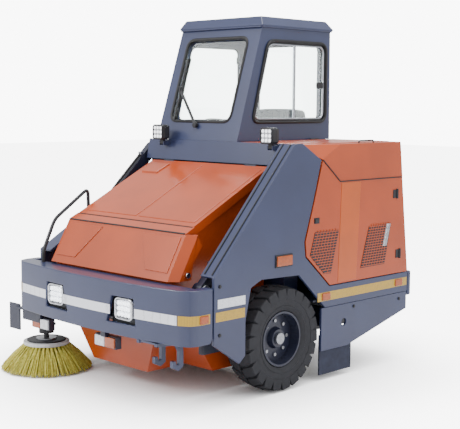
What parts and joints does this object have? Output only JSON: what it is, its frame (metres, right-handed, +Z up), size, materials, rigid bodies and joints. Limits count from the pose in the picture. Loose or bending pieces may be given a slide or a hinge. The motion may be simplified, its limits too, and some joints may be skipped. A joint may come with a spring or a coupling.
{
  "type": "ride on sweeper",
  "caption": "Ride-on sweeper with an enclosed offset cab, a front high-dump hopper with lid, side and main brushes, opening hood and service door, and a rear steering wheel.",
  "frame": {"origin": "on the ground, at the middle of the machine's bounding box, side brush included", "axes": "+X towards the machine's left side, -Y towards its front, +Z up"},
  "size_m": [1.655, 2.082, 2.115],
  "materials": {
    "grey_blue_paint": "semi-gloss paint",
    "orange_paint": "semi-gloss paint",
    "black_plastic": "satin black",
    "tyre_rubber": "dull black rubber",
    "wiper_rubber": "dull black rubber",
    "rubber_sheet": "dull dark rubber sheet",
    "painted_rim": "dark satin paint",
    "anodised_aluminium": "satin anodised",
    "safety_glass": "clear glass",
    "lamp_lens": "clear moulded lens",
    "polypropylene_bristle": "yellow bristle",
    "seat_vinyl": "black vinyl",
    "filter_paper": "pleated paper"
  },
  "bodies": {
    "chassis": {"chassis_frame": "painted_rim", "left_side_panel": "grey_blue_paint", "right_side_panel": "grey_blue_paint", "left_lower_panel": "grey_blue_paint", "right_lower_panel": "grey_blue_paint", "left_dust_skirt": "rubber_sheet", "right_dust_skirt": "rubber_sheet", "rear_cover": "orange_paint", "rear_bumper": "grey_blue_paint", "engine": "painted_rim", "fuel_tank": "black_plastic", "cowl": "grey_blue_paint", "footwell": "painted_rim", "cab_shell": "grey_blue_paint", "windshield": "safety_glass", "rear_window": "safety_glass", "side_window_frame": "anodised_aluminium", "side_window_fixed_pane": "safety_glass", "cab_roof": "grey_blue_paint", "steering_console": "black_plastic", "seat_base": "black_plastic"},
    "lift_arms": {"lift_frame": "painted_rim"},
    "hopper_links": {"hopper_carrier": "painted_rim"},
    "hopper": {"hopper_tub": "orange_paint", "nose_cover": "orange_paint", "dust_filter": "filter_paper", "front_bumper": "grey_blue_paint", "headlight_left": "lamp_lens", "headlight_right": "lamp_lens", "hook_bracket": "grey_blue_paint", "side_brush_guard": "grey_blue_paint", "hose_guard": "black_plastic"},
    "lid": {"hopper_lid": "orange_paint"},
    "side_brush_drive": {"side_brush_arm": "grey_blue_paint", "side_brush_motor": "black_plastic"},
    "side_brush_rotor": {"side_brush": "polypropylene_bristle"},
    "main_brush_carrier": {"main_brush_yoke": "grey_blue_paint"},
    "main_brush_rotor": {"main_brush": "polypropylene_bristle"},
    "front_wheel_left": {"front_tyre_left": "tyre_rubber", "front_rim_left": "painted_rim"},
    "front_wheel_right": {"front_tyre_right": "tyre_rubber", "front_rim_right": "painted_rim"},
    "steering_fork": {"steer_fork": "painted_rim"},
    "rear_wheel": {"rear_tyre": "tyre_rubber", "rear_rim": "painted_rim"},
    "steering_hand_wheel": {"steering_wheel": "black_plastic"},
    "engine_hood": {"hood_lid": "orange_paint"},
    "service_door": {"left_service_door": "orange_paint"},
    "service_latch": {"service_door_latch": "black_plastic"},
    "entry_door": {"cab_door": "grey_blue_paint", "door_glass": "safety_glass"},
    "entry_handle": {"door_handle": "black_plastic"},
    "sliding_window": {"side_window_sliding_pane": "safety_glass"},
    "wiper_arm_body": {"wiper_arm": "black_plastic"},
    "wiper_blade_body": {"wiper_blade": "wiper_rubber"},
    "accelerator": {"accelerator_pedal": "black_plastic"},
    "brake": {"brake_pedal": "black_plastic"},
    "driver_seat": {"seat": "seat_vinyl"},
    "work_lamp_left": {"work_light_left": "black_plastic"},
    "work_lamp_right": {"work_light_right": "black_plastic"}
  },
  "joints": [
    {"name": "hopper_lift", "type": "hinge", "parent": "chassis", "child": "lift_arms", "pos_m": [0.0615, 0.071, 1.305], "axis": [-1, 0, 0], "range_deg": [0, 55]},
    {"name": "hopper_level", "type": "hinge", "parent": "lift_arms", "child": "hopper_links", "pos_m": [0.0615, -0.644, 0.62], "axis": [-1, 0, 0], "range_deg": [-55, 0]},
    {"name": "hopper_tip", "type": "hinge", "parent": "hopper_links", "child": "hopper", "pos_m": [0.0615, -0.799, 0.42], "axis": [1, 0, 0], "range_deg": [0, 45]},
    {"name": "lid_open", "type": "hinge", "parent": "hopper", "child": "lid", "pos_m": [0.0615, -0.012, 1.222], "axis": [-1, 0, 0], "range_deg": [0, 35]},
    {"name": "side_brush_lift", "type": "hinge", "parent": "chassis", "child": "side_brush_drive", "pos_m": [-0.5535, -0.544, 0.325], "axis": [-1, 0, 0], "range_deg": [0, 12]},
    {"name": "side_brush_spin", "type": "hinge", "parent": "side_brush_drive", "child": "side_brush_rotor", "pos_m": [-0.5535, -0.767, 0.15], "axis": [0, 0, 1], "continuous": true},
    {"name": "main_brush_lift", "type": "hinge", "parent": "chassis", "child": "main_brush_carrier", "pos_m": [0.0615, 0.446, 0.325], "axis": [-1, 0, 0], "range_deg": [0, 8]},
    {"name": "main_brush_spin", "type": "hinge", "parent": "main_brush_carrier", "child": "main_brush_rotor", "pos_m": [0.0615, 0.226, 0.158], "axis": [1, 0, 0], "continuous": true},
    {"name": "front_wheel_left_spin", "type": "hinge", "parent": "chassis", "child": "front_wheel_left", "pos_m": [0.7215, -0.144, 0.2955], "axis": [1, 0, 0], "continuous": true},
    {"name": "front_wheel_right_spin", "type": "hinge", "parent": "chassis", "child": "front_wheel_right", "pos_m": [-0.5985, -0.144, 0.2955], "axis": [1, 0, 0], "continuous": true},
    {"name": "rear_steer", "type": "hinge", "parent": "chassis", "child": "steering_fork", "pos_m": [0.0615, 0.676, 0.4], "axis": [0, 0, 1], "range_deg": [-50, 50]},
    {"name": "rear_wheel_spin", "type": "hinge", "parent": "steering_fork", "child": "rear_wheel", "pos_m": [0.0615, 0.676, 0.18], "axis": [1, 0, 0], "continuous": true},
    {"name": "steering_wheel_turn", "type": "hinge", "parent": "chassis", "child": "steering_hand_wheel", "pos_m": [-0.0985, 0.356, 1.44], "axis": [0, 0.2487, 0.9686], "range_deg": [-250, 250]},
    {"name": "hood_open", "type": "hinge", "parent": "chassis", "child": "engine_hood", "pos_m": [0.2765, 0.456, 1.368], "axis": [0, -1, 0], "range_deg": [0, 75]},
    {"name": "service_door_open", "type": "hinge", "parent": "chassis", "child": "service_door", "pos_m": [0.8255, 0.8689, 0.85], "axis": [0, -0.1008, 0.9949], "range_deg": [0, 100]},
    {"name": "service_latch_turn", "type": "hinge", "parent": "service_door", "child": "service_latch", "pos_m": [0.8215, 0.099, 0.939], "axis": [1, 0, 0], "range_deg": [0, 90]},
    {"name": "entry_door_open", "type": "hinge", "parent": "chassis", "child": "entry_door", "pos_m": [-0.476, 0.846, 1.3], "axis": [0, 0, -1], "range_deg": [0, 85]},
    {"name": "entry_handle_turn", "type": "hinge", "parent": "entry_door", "child": "entry_handle", "pos_m": [-0.454, 0.186, 1.33], "axis": [1, 0, 0], "range_deg": [0, 40]},
    {"name": "window_slide", "type": "slide", "parent": "chassis", "child": "sliding_window", "axis": [0, -1, 0], "range_m": [0, 0.19]},
    {"name": "wiper_sweep", "type": "hinge", "parent": "chassis", "child": "wiper_arm_body", "pos_m": [-0.1145, 0.04787, 1.457], "axis": [0, 0.9532, -0.3024], "range_deg": [0, 80]},
    {"name": "wiper_blade_level", "type": "hinge", "parent": "wiper_arm_body", "child": "wiper_blade_body", "pos_m": [-0.3255, 0.12935, 1.676], "axis": [0, 0.9532, -0.3024], "range_deg": [-80, 0]},
    {"name": "accelerator_press", "type": "hinge", "parent": "chassis", "child": "accelerator", "pos_m": [-0.2885, 0.291, 0.627], "axis": [1, 0, 0], "range_deg": [0, 18], "stiffness_Nm_per_rad": 1.5},
    {"name": "brake_press", "type": "hinge", "parent": "chassis", "child": "brake", "pos_m": [0.1115, 0.291, 0.627], "axis": [1, 0, 0], "range_deg": [0, 18], "stiffness_Nm_per_rad": 3},
    {"name": "seat_slide", "type": "slide", "parent": "chassis", "child": "driver_seat", "axis": [0, -1, 0], "range_m": [0, 0.1]},
    {"name": "work_lamp_left_tilt", "type": "hinge", "parent": "chassis", "child": "work_lamp_left", "pos_m": [0.5815, -0.024, 1.348], "axis": [1, 0, 0], "range_deg": [-20, 20]},
    {"name": "work_lamp_right_tilt", "type": "hinge", "parent": "chassis", "child": "work_lamp_right", "pos_m": [-0.3385, -0.024, 1.348], "axis": [1, 0, 0], "range_deg": [-20, 20]}
  ],
  "couplings": [
    {"joint": "hopper_level", "follows": "hopper_lift", "ratio": -1},
    {"joint": "steering_wheel_turn", "follows": "rear_steer", "ratio": -5},
    {"joint": "wiper_blade_level", "follows": "wiper_sweep", "ratio": -1}
  ]
}
